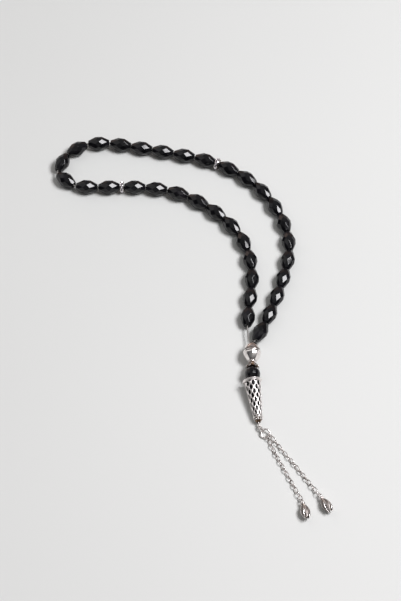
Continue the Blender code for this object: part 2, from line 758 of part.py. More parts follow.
def bud_mesh():
    """Leaf bud hanging along -Z: fluted leaves that swell and close to separate points."""
    sides = 2 * BUD_LEAVES
    bm = bmesh.new()
    rings = []
    for radius, share in BUD_OUTLINE:
        ring = []
        for side in range(sides):
            angle = math.pi * side / BUD_LEAVES
            groove = BUD_GROOVE if side % 2 and share > BUD_GROOVE_START else 1.0
            reach = radius * MM * groove
            ring.append(bm.verts.new((reach * math.cos(angle), reach * math.sin(angle),
                                      -share * BUD_LENGTH)))
        rings.append(ring)
    for upper, lower in zip(rings, rings[1:]):
        for side in range(sides):
            after = (side + 1) % sides
            bm.faces.new((upper[side], lower[side], lower[after], upper[after]))
    bm.faces.new(rings[0])
    tip = bm.verts.new((0, 0, -BUD_LENGTH * BUD_HEART))
    for side in range(sides):
        after = (side + 1) % sides
        bm.faces.new((rings[-1][after], rings[-1][side], tip))
    for side in range(0, sides, 2):
        point = rings[-1][side]
        point.co = Vector((point.co.x * BUD_POINT_RADIUS, point.co.y * BUD_POINT_RADIUS,
                           -BUD_LENGTH))
    bmesh.ops.recalc_face_normals(bm, faces=bm.faces)
    return bm_to_mesh(bm, "bud")


def make_charm(side, settings, pivot, roll):
    """Loop and leaf bud in one casting."""
    loop = torus_mesh("charm_loop", CHARM_LOOP_RADIUS, CHARM_LOOP_WIRE, 12, 6)
    loop.transform(Matrix.Translation((0, 0, -CHARM_LOOP_RADIUS)))
    bud = bud_mesh()
    bud.transform(Matrix.Translation((0, 0, -2 * CHARM_LOOP_RADIUS)))
    mesh = combined("charm", bud, loop, 'UNION')
    mesh.transform(Matrix.Translation((0, 0, CHARM_LOOP_WIRE + RUN_GAP / 2)))
    direction = heading_vector(math.radians(settings["charm_heading"]), CHARM_SLOPE)
    new_object(f"charm_{side}", mesh, parts, silver, frame_along(pivot, direction, roll))


# ---------------------------------------------------------------- assembly

clear_scene()
parts = new_collection("misbaha_prayer_beads")
cutters = new_collection("cutters")
black_glass = principled("black_glass", (0.012, 0.012, 0.014), 0.08, 0.0)
silver = principled("silver", (0.80, 0.76, 0.74), 0.22, 1.0)
crystal_silver = principled("crystal_silver", (0.86, 0.85, 0.86), 0.12, 0.8)
silver_cord = principled("silver_cord", (0.62, 0.60, 0.58), 0.45, 0.6)

route_points = [Vector((KNOT_PLACE.x + x * MM, KNOT_PLACE.y + y * MM, 0.0))
                for x, y in ROUTE_FROM_KNOT]
route = lift_ends(catmull_rom(route_points, ROUTE_SAMPLES_PER_SPAN))
bead_ends, spacer_ends = string_beads(route)
make_beads(bead_ends)
make_spacers(spacer_ends)
make_cord(route, bead_ends)
make_knot()

leader_direction = heading_vector(0.0)
leader_frame = frame_along(KNOT_PLACE, leader_direction)
make_leader(leader_frame)
make_flower_cap(leader_frame)
make_ball(leader_frame)
make_inner_cord(leader_frame)

cone_direction = heading_vector(CONE_HEADING, CONE_SLOPE)
cone_pivot = KNOT_PLACE - leader_direction * CONE_PIVOT
cone_frame = frame_along(cone_pivot, cone_direction)
make_lattice(cone_frame)
make_cone_core(cone_frame)
make_end_cap(cone_frame)
make_cone_pin(cone_frame)

foot_eye_place = cone_pivot - cone_direction * FOOT_EYE_CENTRE
ring_post = make_connectors(foot_eye_place, cone_direction)
ring_centre, ring_turn = make_ring(ring_post)
run_meshes = {count: chain_run_mesh(count) for count in (4, 5)}
for chain_side, chain_settings in CHAINS.items():
    charm_pivot = make_chain(chain_side, chain_settings, ring_centre, ring_turn)
    even = chain_settings["links"][-1] % 2 == 0
    make_charm(chain_side, chain_settings, charm_pivot, LINK_ROLL if even else -LINK_ROLL)
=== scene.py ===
import json
import math

import bmesh
import bpy
from bpy.props import FloatProperty, FloatVectorProperty, IntProperty, PointerProperty
from mathutils import Matrix, Vector

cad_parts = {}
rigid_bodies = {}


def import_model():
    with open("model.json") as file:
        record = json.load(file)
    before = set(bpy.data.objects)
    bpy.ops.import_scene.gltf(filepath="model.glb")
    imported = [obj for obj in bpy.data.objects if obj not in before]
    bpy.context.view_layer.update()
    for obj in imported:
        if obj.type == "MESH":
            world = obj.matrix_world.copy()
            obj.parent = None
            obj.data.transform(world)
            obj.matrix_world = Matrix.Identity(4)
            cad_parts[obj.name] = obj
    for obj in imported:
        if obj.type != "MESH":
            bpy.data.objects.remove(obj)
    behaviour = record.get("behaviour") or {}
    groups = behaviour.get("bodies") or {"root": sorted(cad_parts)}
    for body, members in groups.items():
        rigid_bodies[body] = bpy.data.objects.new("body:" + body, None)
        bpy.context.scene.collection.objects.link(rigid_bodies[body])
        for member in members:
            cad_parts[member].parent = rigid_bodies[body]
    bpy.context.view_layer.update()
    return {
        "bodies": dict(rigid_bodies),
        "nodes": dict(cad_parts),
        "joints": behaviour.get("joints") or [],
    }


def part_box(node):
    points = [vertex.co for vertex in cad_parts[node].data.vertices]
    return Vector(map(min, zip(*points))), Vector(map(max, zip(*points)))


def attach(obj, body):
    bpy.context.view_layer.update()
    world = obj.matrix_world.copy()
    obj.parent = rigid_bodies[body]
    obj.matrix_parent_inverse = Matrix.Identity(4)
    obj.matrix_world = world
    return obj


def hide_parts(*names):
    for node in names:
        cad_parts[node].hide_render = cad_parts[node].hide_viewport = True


bl_info = {
    "name": "Misbaha prayer beads",
    "version": (1, 0, 0),
    "blender": (4, 5, 0),
    "location": "View3D > Sidebar > Misbaha",
    "description": "Cut glass beads, silver leader, lattice cone and chain tassels laid on a table",
    "category": "Object",
}

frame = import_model()

MM = 0.001
MERGE = 0.000002
UP = Vector((0.0, 0.0, 1.0))
JOINTS = {joint["child"]: joint for joint in frame["joints"]}
BEADS = sorted(body for body in frame["bodies"] if body.startswith("bead_"))
SIDES = ("left", "right")


def pivot(body):
    """Where the joint that carries a body sits."""
    return Vector(JOINTS[body]["pos_m"])


def axis(body):
    """Unit direction of the joint that carries a body."""
    return Vector(JOINTS[body]["axis"]).normalized()


def hanging(place, direction, roll=0.0):
    """Matrix at a place whose +Z points back along a direction of hanging, with +X level."""
    back = -direction.normalized()
    side = UP.cross(back).normalized()
    over = back.cross(side)
    turn = Matrix((side, over, back)).transposed().to_4x4()
    return Matrix.Translation(place) @ turn @ Matrix.Rotation(roll, 4, 'Z')


def heading(degrees, slope_degrees=0.0):
    """Unit vector at a heading from -Y towards +X, falling by a slope."""
    turn, slope = math.radians(degrees), math.radians(slope_degrees)
    level = math.cos(slope)
    return Vector((math.sin(turn) * level, -math.cos(turn) * level, -math.sin(slope)))


# ------------------------------------------------------------------ modelling by hand, in code

def deselect():
    if bpy.context.mode != 'OBJECT':
        bpy.ops.object.mode_set(mode='OBJECT')
    bpy.ops.object.select_all(action='DESELECT')


def only(*objects):
    """Select just these objects, the first one active."""
    deselect()
    for obj in objects:
        obj.select_set(True)
    bpy.context.view_layer.objects.active = objects[0]


def edit(obj, everything=True):
    only(obj)
    bpy.ops.object.mode_set(mode='EDIT')
    bpy.ops.mesh.select_mode(type='VERT')
    bpy.ops.mesh.select_all(action='SELECT' if everything else 'DESELECT')


def done():
    bpy.ops.object.mode_set(mode='OBJECT')


def choose(obj, test):
    """In edit mode, select only the vertices whose place passes the test."""
    bpy.ops.mesh.select_all(action='DESELECT')
    shape = bmesh.from_edit_mesh(obj.data)
    for vertex in shape.verts:
        vertex.select_set(bool(test(vertex.co)))
    shape.select_flush(True)
    bmesh.update_edit_mesh(obj.data)


def named(name):
    obj = bpy.context.object
    obj.name = name
    obj.data.name = name
    return obj


def placed(obj, matrix):
    """Put a finished piece in place, with its place in its mesh."""
    only(obj)
    obj.matrix_world = matrix
    bpy.ops.object.transform_apply(location=True, rotation=True, scale=True)
    return obj


def copied(obj, name, matrix):
    copy = obj.copy()
    copy.data = obj.data.copy()
    copy.name = name
    copy.data.name = name
    bpy.context.collection.objects.link(copy)
    return placed(copy, matrix)


def discard(*objects):
    for obj in objects:
        bpy.data.objects.remove(obj, do_unlink=True)


def joined(name, objects):
    only(*objects)
    if len(objects) > 1:
        bpy.ops.object.join()
    return named(name)


def worked(obj, kind, **settings):
    """Add a modifier and apply it."""
    only(obj)
    modifier = obj.modifiers.new(kind.title(), kind)
    for name, value in settings.items():
        setattr(modifier, name, value)
    bpy.ops.object.modifier_apply(modifier=modifier.name)
    return obj


def rounded(obj, levels=1):
    return worked(obj, 'SUBSURF', levels=levels, render_levels=levels)


def bevelled(obj, width, segments=2, degrees=20.0):
    return worked(obj, 'BEVEL', width=width, segments=segments, limit_method='ANGLE',
                  angle_limit=math.radians(degrees))


def smooth(obj, degrees=40.0):
    only(obj)
    bpy.ops.object.shade_smooth_by_angle(angle=math.radians(degrees))
    return obj


def outward(obj):
    """Close the seams and point the faces out."""
    edit(obj)
    bpy.ops.mesh.remove_doubles(threshold=MERGE)
    bpy.ops.mesh.normals_make_consistent(inside=False)
    done()
    return obj


def lathe(name, outline, sides, closed=True):
    """Turned piece: a ring is drawn out and resized along its outline of (radius, height) in
    millimetres. A closed outline is bridged back to its start, an open one is capped."""
    radius, height = outline[0]
    bpy.ops.mesh.primitive_circle_add(vertices=sides, radius=radius * MM)
    obj = named(name)
    edit(obj)
    bpy.ops.transform.translate(value=(0, 0, height * MM))
    if not closed:
        bpy.ops.mesh.edge_face_add()
    for next_radius, next_height in outline[1:]:
        bpy.ops.mesh.extrude_region_move(
            TRANSFORM_OT_translate={"value": (0, 0, (next_height - height) * MM)})
        grow = next_radius / radius
        bpy.ops.transform.resize(value=(grow, grow, 1),
                                 center_override=(0, 0, next_height * MM))
        radius, height = next_radius, next_height
    if closed:
        bpy.ops.mesh.select_all(action='DESELECT')
        bpy.ops.mesh.select_non_manifold()
        bpy.ops.mesh.bridge_edge_loops()
    done()
    return outward(obj)


def wire_loop(name, radius, wire, length=0.0, around=32, across=12):
    """Round wire ring in the XZ plane, in millimetres; a length stretches it along Z."""
    bpy.ops.mesh.primitive_torus_add(major_segments=around, minor_segments=across,
                                     major_radius=radius * MM, minor_radius=wire * MM)
    obj = named(name)
    edit(obj, everything=False)
    for sign in (1, -1):
        choose(obj, lambda place, sign=sign: place.y * sign > wire * MM * 0.01)
        bpy.ops.transform.translate(value=(0, sign * length / 2 * MM, 0))
    done()
    return placed(obj, Matrix.Rotation(math.pi / 2, 4, 'X'))


def leaf(name, rows, curl, thickness):
    """Pointed leaf that hangs along -Z on a body of revolution. Each row is (height, half width,
    distance from the axis) in millimetres, and its edges curl in towards the axis."""
    bpy.ops.mesh.primitive_grid_add(x_subdivisions=4, y_subdivisions=len(rows) - 1, size=2)
    obj = named(name)
    edit(obj, everything=False)
    for index, (height, half_width, reach) in enumerate(rows):
        row = 1 - 2 * index / (len(rows) - 1)
        for column in range(5):
            across = column / 2 - 1
            choose(obj, lambda place, a=across, row=row: place.z == 0
                   and abs(place.x - a) < 0.01 and abs(place.y - row) < 0.01)
            target = Vector((across * half_width, height, reach - curl * half_width * across ** 2))
            here = Vector((across, row, 0))
            bpy.ops.transform.translate(value=target - here)
    bpy.ops.mesh.select_all(action='SELECT')
    bpy.ops.transform.resize(value=(MM, MM, MM), center_override=(0, 0, 0))
    done()
    worked(obj, 'SOLIDIFY', thickness=thickness * MM, offset=-1.0)
    return placed(obj, Matrix.Rotation(math.pi / 2, 4, 'X'))


def drilled(obj, radius, depth):
    """Drill a hole through the middle, along Z."""
    bpy.ops.mesh.primitive_cylinder_add(vertices=20, radius=radius, depth=depth)
    drill = named("drill")
    worked(obj, 'BOOLEAN', operation='DIFFERENCE', solver='EXACT', object=drill)
    discard(drill)


def around_axis(name, piece, count, start_degrees=0.0):
    """Copies of a piece, turned evenly about Z and joined."""
    turns = [math.radians(start_degrees) + 2 * math.pi * index / count for index in range(count)]
    ring = [copied(piece, name, Matrix.Rotation(turn, 4, 'Z')) for turn in turns]
    discard(piece)
    return joined(name, ring)


def grains(count, radius, reach, height):
    """A row of small grains round Z, in millimetres."""
    bpy.ops.mesh.primitive_uv_sphere_add(segments=8, ring_count=6, radius=radius * MM)
    grain = smooth(placed(named("grain"), Matrix.Translation((reach * MM, 0, height * MM))), 80.0)
    return around_axis("grains", grain, count)


def cavities(obj):
    """Store how open each corner lies, and return the span of values that holds tarnish."""
    only(obj)
    bpy.ops.geometry.color_attribute_add(name="polish", domain='POINT', data_type='FLOAT_COLOR',
                                         color=(1, 1, 1, 1))
    bpy.ops.paint.vertex_color_dirt(blur_strength=0.5, blur_iterations=1, dirt_angle=0.2)
    levels = sorted(item.color[0] for item in obj.data.color_attributes["polish"].data)
    middle = levels[len(levels) // 2]
    return middle * 0.45, middle * 0.88


# ------------------------------------------------------------------ shader arithmetic

class Value:
    """An output socket used in arithmetic: each operator adds the Math node that does it."""

    def __init__(self, tree, socket):
        self.tree = tree
        self.socket = socket

    def _with(self, operation, first, second):
        return self.tree.add('ShaderNodeMath', {"operation": operation}, {0: first, 1: second})

    def __add__(self, other):
        return self._with('ADD', self, other)

    def __radd__(self, other):
        return self._with('ADD', other, self)

    def __sub__(self, other):
        return self._with('SUBTRACT', self, other)

    def __rsub__(self, other):
        return self._with('SUBTRACT', other, self)

    def __mul__(self, other):
        return self._with('MULTIPLY', self, other)

    def __rmul__(self, other):
        return self._with('MULTIPLY', other, self)


class Nodes:
    """A node tree and a short way to add nodes to it."""

    def __init__(self, tree):
        self.nodes, self.links = tree.nodes, tree.links

    def feed(self, target, value):
        if isinstance(value, Value):
            self.links.new(value.socket, target)
        else:
            target.default_value = value

    def add(self, kind, settings=None, inputs=None, output=0):
        """A node of a type, with its settings made first, and then its sockets' values."""
        node = self.nodes.new(kind)
        for name, value in (settings or {}).items():
            setattr(node, name, value)
        for socket, value in (inputs or {}).items():
            self.feed(node.inputs[socket], value)
        return Value(self, node.outputs[output])

    def ramp(self, value, low, high):
        """0 below low, 1 above high, smooth between."""
        return self.add('ShaderNodeMapRange', {"interpolation_type": 'SMOOTHSTEP'}, {
            "Value": value, "From Min": low, "From Max": high})

    def mix(self, share, first, second):
        """From one colour to another."""
        node = self.add('ShaderNodeMix', {"data_type": 'RGBA'}, {0: share}, output=2)
        for index, colour in ((6, first), (7, second)):
            target = node.socket.node.inputs[index]
            self.feed(target, colour if isinstance(colour, Value) else (*colour, 1.0))
        return node


class Finish(Nodes):
    """A material with one Principled shader."""

    def __init__(self, name, colour, roughness, metallic=0.0, **fixed):
        self.material = bpy.data.materials.new(name)
        self.material.use_nodes = True
        self.material.diffuse_color = (*colour[:3], 1.0)
        super().__init__(self.material.node_tree)
        self.shader = self.nodes["Principled BSDF"]
        self.set("Base Color", (*colour[:3], 1.0))
        self.set("Roughness", roughness)
        self.set("Metallic", metallic)
        for socket, value in fixed.items():
            self.set(socket.replace("_", " "), value)

    def set(self, socket, value):
        self.feed(self.shader.inputs[socket], value)

    def place(self):
        return self.add('ShaderNodeTexCoord', output="Object")

    def noise(self, scale, detail=3.0, roughness=0.55, stretch=None):
        """Mottling from 0 to 1; the scale is in cycles to a metre."""
        place = self.place()
        if stretch is not None:
            place = self.add('ShaderNodeMapping', inputs={"Vector": place, "Scale": stretch})
        return self.add('ShaderNodeTexNoise', inputs={
            "Vector": place, "Scale": scale, "Detail": detail, "Roughness": roughness})

    def bump(self, height, strength, distance):
        self.set("Normal", self.add('ShaderNodeBump', inputs={
            "Strength": strength, "Distance": distance, "Height": height}))


def glass_finish(name, colours, dullness=0.045, shine=0.34):
    """Opaque black glass, cut and polished, with a trace of handling on its facets."""
    finish = Finish(name, colours.glass, dullness, IOR=1.52, Specular_IOR_Level=shine)
    handling = finish.ramp(finish.noise(260.0, 4.0), 0.45, 0.75)
    finish.set("Base Color", finish.mix(handling, colours.glass, colours.glass_bloom))
    finish.set("Roughness", handling * 0.10 + dullness)
    finish.bump(finish.noise(900.0, 2.0), 0.03, 0.00005)
    return finish.material


def silver_finish(name, colours, roughness=0.16, recess=None, age=0.0):
    """Polished silver plate with fine rubbing marks. The recesses of cast work keep tarnish,
    and an aged piece has it in spots."""
    finish = Finish(name, colours.silver, roughness, 1.0)
    cloud = finish.noise(420.0, 4.0)
    rubbed = finish.noise(2600.0, 2.0, stretch=(1.0, 0.22, 1.0))
    worn = finish.ramp(cloud, 0.35, 0.8)
    shade = finish.mix(worn * 0.5, colours.silver, colours.silver_worn)
    level = worn * 0.12 + rubbed * 0.07 + (roughness - 0.04)
    if recess is not None:
        depth = finish.add('ShaderNodeAttribute', {"attribute_name": "polish"}, output="Fac")
        dark = 1.0 - finish.ramp(depth + (cloud - 0.5) * 0.10, *recess)
        shade = finish.mix(dark * 0.78, shade, colours.tarnish)
        level = level + dark * 0.30
    if age > 0.0:
        spots = finish.ramp(finish.noise(760.0, 2.0), 0.46, 0.60) * age
        shade = finish.mix(spots, shade, colours.tarnish)
        level = level + spots * 0.2
    finish.set("Base Color", shade)
    finish.set("Roughness", level)
    finish.bump(rubbed, 0.05, 0.00003)
    return finish.material


def gilt_finish(name, colours):
    """Brown-gold ground that shows between polished silver leaves."""
    finish = Finish(name, colours.gilt, 0.4, 1.0)
    mottle = finish.ramp(finish.noise(1400.0, 3.0), 0.38, 0.68)
    finish.set("Base Color", finish.mix(mottle, colours.tarnish, colours.gilt))
    finish.set("Roughness", 0.48 - mottle * 0.16)
    finish.bump(finish.noise(3200.0, 2.0), 0.2, 0.00005)
    return finish.material


def crystal_finish(name, colours):
    """Foil-backed clear stones: bright, sharp and nearly white."""
    finish = Finish(name, colours.crystal, 0.04, 0.85)
    glint = finish.ramp(finish.noise(1500.0, 1.0), 0.35, 0.65)
    finish.set("Base Color", finish.mix(glint, colours.crystal, colours.crystal_deep))
    finish.set("Roughness", glint * 0.05 + 0.03)
    return finish.material


def cord_finish(name, colours):
    """Metallic thread: fine filaments across the twisted strands."""
    finish = Finish(name, colours.cord, 0.42, 0.55)
    filament = finish.noise(5200.0, 2.0)
    tone = finish.ramp(filament, 0.3, 0.7)
    finish.set("Base Color", finish.mix(tone, colours.cord_shadow, colours.cord))
    finish.set("Roughness", tone * -0.15 + 0.5)
    finish.bump(filament, 0.35, 0.00006)
    return finish.material


def table_finish(name, colours):
    """Matt painted board with a faint tooth."""
    finish = Finish(name, colours.table, 0.9)
    tooth = finish.noise(1800.0, 3.0)
    drift = finish.ramp(finish.noise(2.2, 2.0), 0.3, 0.7)
    finish.set("Base Color", finish.mix(drift, colours.table, colours.table_drift))
    finish.bump(tooth, 0.04, 0.0001)
    return finish.material


def dress(obj, material, body, slot_name, *replaced):
    """Give a piece its material, its body and the nodes it stands for."""
    obj.data.materials.clear()
    obj.data.materials.append(material)
    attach(obj, body)
    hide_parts(*replaced)
    return obj


def dress_node(node, material):
    """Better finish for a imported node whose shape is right."""
    obj = frame["nodes"][node]
    obj.data.materials.clear()
    obj.data.materials.append(material)


# ------------------------------------------------------------------ sizes and colours

def length(name, millimetres, description):
    return FloatProperty(name=name, default=millimetres * MM, min=0.0, description=description,
                         unit='LENGTH', subtype='DISTANCE', precision=5)


def colour(name, rgb, description):
    return FloatVectorProperty(name=name, default=rgb, size=3, min=0.0, max=1.0,
                               description=description, subtype='COLOR')


class MisbahaBeadSizes(bpy.types.PropertyGroup):
    bead_length: length("Length", 11.7, "Length of an oval bead along the cord")
    waist: length("Waist radius", 4.0, "Radius at the corners of the middle facets")
    shoulder: length("Shoulder radius", 2.55, "Radius at the corners near each end")
    shoulder_height: length("Shoulder height", 4.6, "Distance of those corners from the middle")
    bore: length("Bore radius", 0.95, "Radius of the hole for the cord")
    edge: length("Edge width", 0.11, "Width of the polished edges between facets")
    sides: IntProperty(name="Sides", default=8, min=6, max=12,
                       description="Facets round the bead's middle")


class MisbahaCordSizes(bpy.types.PropertyGroup):
    diameter: length("Diameter", 0.84, "Thickness of the stringing cord")
    twist: length("Twist", 2.4, "Length in which the strands go once round")
    strands: IntProperty(name="Strands", default=3, min=2, max=6,
                         description="Strands twisted into the cord")


class MisbahaChainSizes(bpy.types.PropertyGroup):
    link_length: length("Link length", 2.92, "Outer length of a chain link")
    link_width: length("Link width", 1.82, "Width of a link between its wires' middles")
    link_wire: length("Link wire allowance", 0.24, "Wire radius that spaces the links")
    link_wire_seen: length("Link wire radius", 0.235, "Radius of a link's wire")
    overlap: length("Contact", 0.1, "How far linked wires press into each other")
    ring_wire: length("Ring wire radius", 0.45, "Radius of the jump ring's wire")
    gap: length("Play", 0.2, "Clearance at each turning link")


class MisbahaColours(bpy.types.PropertyGroup):
    glass: colour("Black glass", (0.004, 0.004, 0.005), "Colour of the cut beads")
    glass_bloom: colour("Glass bloom", (0.010, 0.009, 0.012), "Handled places on the beads")
    silver: colour("Silver", (0.90, 0.86, 0.84), "Polished silver plate")
    silver_worn: colour("Worn silver", (0.78, 0.70, 0.67), "Warmer worn silver")
    tarnish: colour("Tarnish", (0.060, 0.036, 0.024), "Brown left in the recesses")
    gilt: colour("Gilt ground", (0.31, 0.21, 0.13), "Brown gold between the leaves")
    crystal: colour("Crystal", (0.95, 0.93, 0.95), "Face of the clear stones")
    crystal_deep: colour("Crystal depth", (0.55, 0.50, 0.55), "Depth of the clear stones")
    cord: colour("Cord", (0.52, 0.50, 0.48), "Metallic thread")
    cord_shadow: colour("Cord shadow", (0.22, 0.21, 0.20), "Between the filaments")
    table: colour("Table", (0.690, 0.698, 0.682), "Painted table")
    table_drift: colour("Table drift", (0.708, 0.714, 0.698), "Slow change in the table's tone")
    room_light: colour("Room light", (1.0, 1.0, 1.0), "Bright ceiling over the table")
    room_dark: colour("Room shade", (0.10, 0.10, 0.11), "Dark lower walls")
    room_warm: colour("Warm wall", (0.90, 0.68, 0.60), "Low warm wall on the far side")


class MisbahaStageSettings(bpy.types.PropertyGroup):
    lens: FloatProperty(name="Lens", default=101.8, min=20.0, unit='CAMERA',
                        description="Focal length for a 36 mm high picture")
    pitch: FloatProperty(name="Pitch", default=math.radians(55.5), subtype='ANGLE',
                         unit='ROTATION', description="How far the camera looks down")
    key_power: FloatProperty(name="Key power", default=15.0, min=0.0, unit='POWER',
                             description="Strength of the large soft lamp")
    warm_power: FloatProperty(name="Warm power", default=0.35, min=0.0, unit='POWER',
                              description="Strength of the low warm reflector")
    fill_power: FloatProperty(name="Fill power", default=2.6, min=0.0, unit='POWER',
                              description="Strength of the lamp on the other side")
    room: FloatProperty(name="Room", default=0.34, min=0.0,
                        description="Brightness of the room round the table")


class MisbahaSettings(bpy.types.PropertyGroup):
    beads: PointerProperty(type=MisbahaBeadSizes)
    cord: PointerProperty(type=MisbahaCordSizes)
    chain: PointerProperty(type=MisbahaChainSizes)
    colours: PointerProperty(type=MisbahaColours)
    stage: PointerProperty(type=MisbahaStageSettings)


# ------------------------------------------------------------------ stage

KNOT = pivot("leader_cord")
CAMERA_FROM_KNOT = Vector((-26.43, -475.3, 733.2)) * MM
TABLE_SIZE = 6.0
TABLE_DROP = 0.02

# Name, power setting, place, size and tint of each lamp, in metres
LAMPS = (
    ("key_softbox", "key_power", (0.62, -0.02, 1.05), (0.58, 0.36), (0.985, 0.975, 1.0)),
    ("warm_reflector", "warm_power", (-0.6, 1.1, 0.34), (0.7, 0.22), (1.0, 0.80, 0.72)),
    ("fill_panel", "fill_power", (-0.9, 0.5, 0.9), (1.1, 1.1), (1.0, 0.99, 0.98)),
)


class MISBAHA_OT_stage(bpy.types.Operator):
    """Lay the table and set the lamps and the camera"""
    bl_idname = "misbaha.stage"
    bl_label = "Table, lamps and camera"

    def execute(self, context):
        settings = context.scene.misbaha
        self.table(settings)
        self.camera(context, settings.stage)
        self.lamps(settings.stage)
        self.room(context, settings)
        context.scene.view_settings.view_transform = 'Standard'
        return {'FINISHED'}

    def table(self, settings):
        deselect()
        bpy.ops.mesh.primitive_grid_add(x_subdivisions=2, y_subdivisions=2, size=TABLE_SIZE)
        table = named("table")
        placed(table, Matrix.Translation((0, 0, -TABLE_DROP * MM)))
        table.data.materials.append(table_finish("painted_table", settings.colours))

    def camera(self, context, stage):
        data = bpy.data.cameras.new("camera")
        data.sensor_fit = 'VERTICAL'
        data.sensor_height = 36.0
        data.lens = stage.lens
        data.dof.use_dof = False
        camera = bpy.data.objects.new("camera", data)
        camera.location = KNOT + CAMERA_FROM_KNOT
        camera.rotation_euler = (math.pi / 2 - stage.pitch, 0, 0)
        context.collection.objects.link(camera)
        context.scene.camera = camera

    def lamp(self, name, place, size, power, tint):
        data = bpy.data.lights.new(name, 'AREA')
        data.shape = 'RECTANGLE'
        data.size, data.size_y = size
        data.energy = power
        data.color = tint
        lamp = bpy.data.objects.new(name, data)
        lamp.location = place
        lamp.rotation_euler = (-Vector(place)).to_track_quat('-Z', 'Y').to_euler()
        bpy.context.collection.objects.link(lamp)

    def lamps(self, stage):
        for name, power, place, size, tint in LAMPS:
            self.lamp(name, place, size, getattr(stage, power), tint)

    def room(self, context, settings):
        """A bright ceiling over dark walls, darker on the left and warm at the far side."""
        colours = settings.colours
        world = bpy.data.worlds.new("studio")
        world.use_nodes = True
        sky = Nodes(world.node_tree)
        way = sky.add('ShaderNodeTexCoord', output="Generated")
        split = sky.add('ShaderNodeSeparateXYZ', inputs={0: way}).socket.node
        east, north, height = (Value(sky, socket) for socket in split.outputs)
        ceiling = sky.ramp(height, 0.30, 0.80) * sky.ramp(east, -0.7, -0.2)
        walls = sky.mix(sky.ramp(north, 0.55, 0.90), colours.room_dark, colours.room_warm)
        background = sky.nodes["Background"]
        sky.feed(background.inputs["Color"], sky.mix(ceiling, walls, colours.room_light))
        sky.feed(background.inputs["Strength"], settings.stage.room)
        context.scene.world = world


# ------------------------------------------------------------------ cord

# The cord's two ends inside the leader's mouth, in millimetres from the knot
CORD_START = [(0.50, 1.85, 0.0), (0.74, 2.45, -0.20), (1.00, 3.10, -0.80)]
CORD_END = [(-1.95, 9.80, -1.33), (-1.75, 6.70, -1.33), (-1.40, 4.20, -1.18), (-0.50, 1.85, 0.0)]


class MISBAHA_OT_cord(bpy.types.Operator):
    """Thread the twisted cord through every bead"""
    bl_idname = "misbaha.cord"
    bl_label = "Stringing cord"

    def execute(self, context):
        settings = context.scene.misbaha
        material = cord_finish("metallic_thread", settings.colours)
        curve = self.route(settings)
        line = self.centreline(curve)
        self.twist(curve, settings.cord, line)
        only(curve)
        bpy.ops.object.convert(target='MESH')
        cord = named("stringing_cord")
        outward(cord)
        smooth(cord, 60.0)
        discard(bpy.data.objects["cord_section"])
        dress(cord, material, "cord", "silver_cord", "cord_loop")
        for node in ("cord_knot", "leader_cord"):
            dress_node(node, material)
        return {'FINISHED'}

    def route(self, settings):
        """One curve: straight in each bore, and turning only in the gaps."""
        half = settings.beads.bead_length / 2
        places = [KNOT + Vector(point) * MM for point in CORD_START]
        ways = [None] * len(places)
        for bead in BEADS:
            for sign in (-1, 1):
                places.append(pivot(bead) + axis(bead) * half * sign)
                ways.append(axis(bead))
        places += [KNOT + Vector(point) * MM for point in CORD_END]
        ways += [None] * len(CORD_END)
        data = bpy.data.curves.new("cord_route", 'CURVE')
        data.dimensions = '3D'
        data.resolution_u = 28
        spline = data.splines.new('BEZIER')
        spline.bezier_points.add(len(places) - 1)
        last = len(places) - 1
        for index, (point, place, way) in enumerate(zip(spline.bezier_points, places, ways)):
            before, after = places[max(index - 1, 0)], places[min(index + 1, last)]
            along = way or (after - before).normalized()
            point.co = place
            point.handle_left_type = point.handle_right_type = 'FREE'
            point.handle_left = place - along * (place - before).length / 3
            point.handle_right = place + along * (after - place).length / 3
        curve = bpy.data.objects.new("cord_route", data)
        bpy.context.collection.objects.link(curve)
        return curve

    def centreline(self, curve):
        bare = bpy.data.meshes.new_from_object(curve)
        line = [vertex.co.copy() for vertex in bare.vertices]
        bpy.data.meshes.remove(bare)
        return line

    def twist(self, curve, sizes, line):
        """A section of round strands, turned steadily along the cord."""
        count = sizes.strands
        section = bpy.data.curves.new("cord_section", 'CURVE')
        section.dimensions = '2D'
        outline = section.splines.new('POLY')
        points = 4 * count
        outline.points.add(points - 1)
        for index, point in enumerate(outline.points):
            angle = 2 * math.pi * index / points
            reach = sizes.diameter / 2 * (0.80 + 0.20 * abs(math.cos(angle * count / 2)))
            point.co = (reach * math.cos(angle), reach * math.sin(angle), 0, 1)
        outline.use_cyclic_u = True
        holder = bpy.data.objects.new("cord_section", section)
        bpy.context.collection.objects.link(holder)
        curve.data.bevel_mode = 'OBJECT'
        curve.data.bevel_object = holder
        curve.data.use_fill_caps = True
        points = curve.data.splines[0].bezier_points
        run = 0.0
        for before, after in zip(points, points[1:]):
            run += (after.co - before.co).length
            after.tilt = 2 * math.pi * run / sizes.twist


# ------------------------------------------------------------------ beads and spacers

CUT_MERGE = 0.00002
STONES = 12
STONE_REACH = 2.98

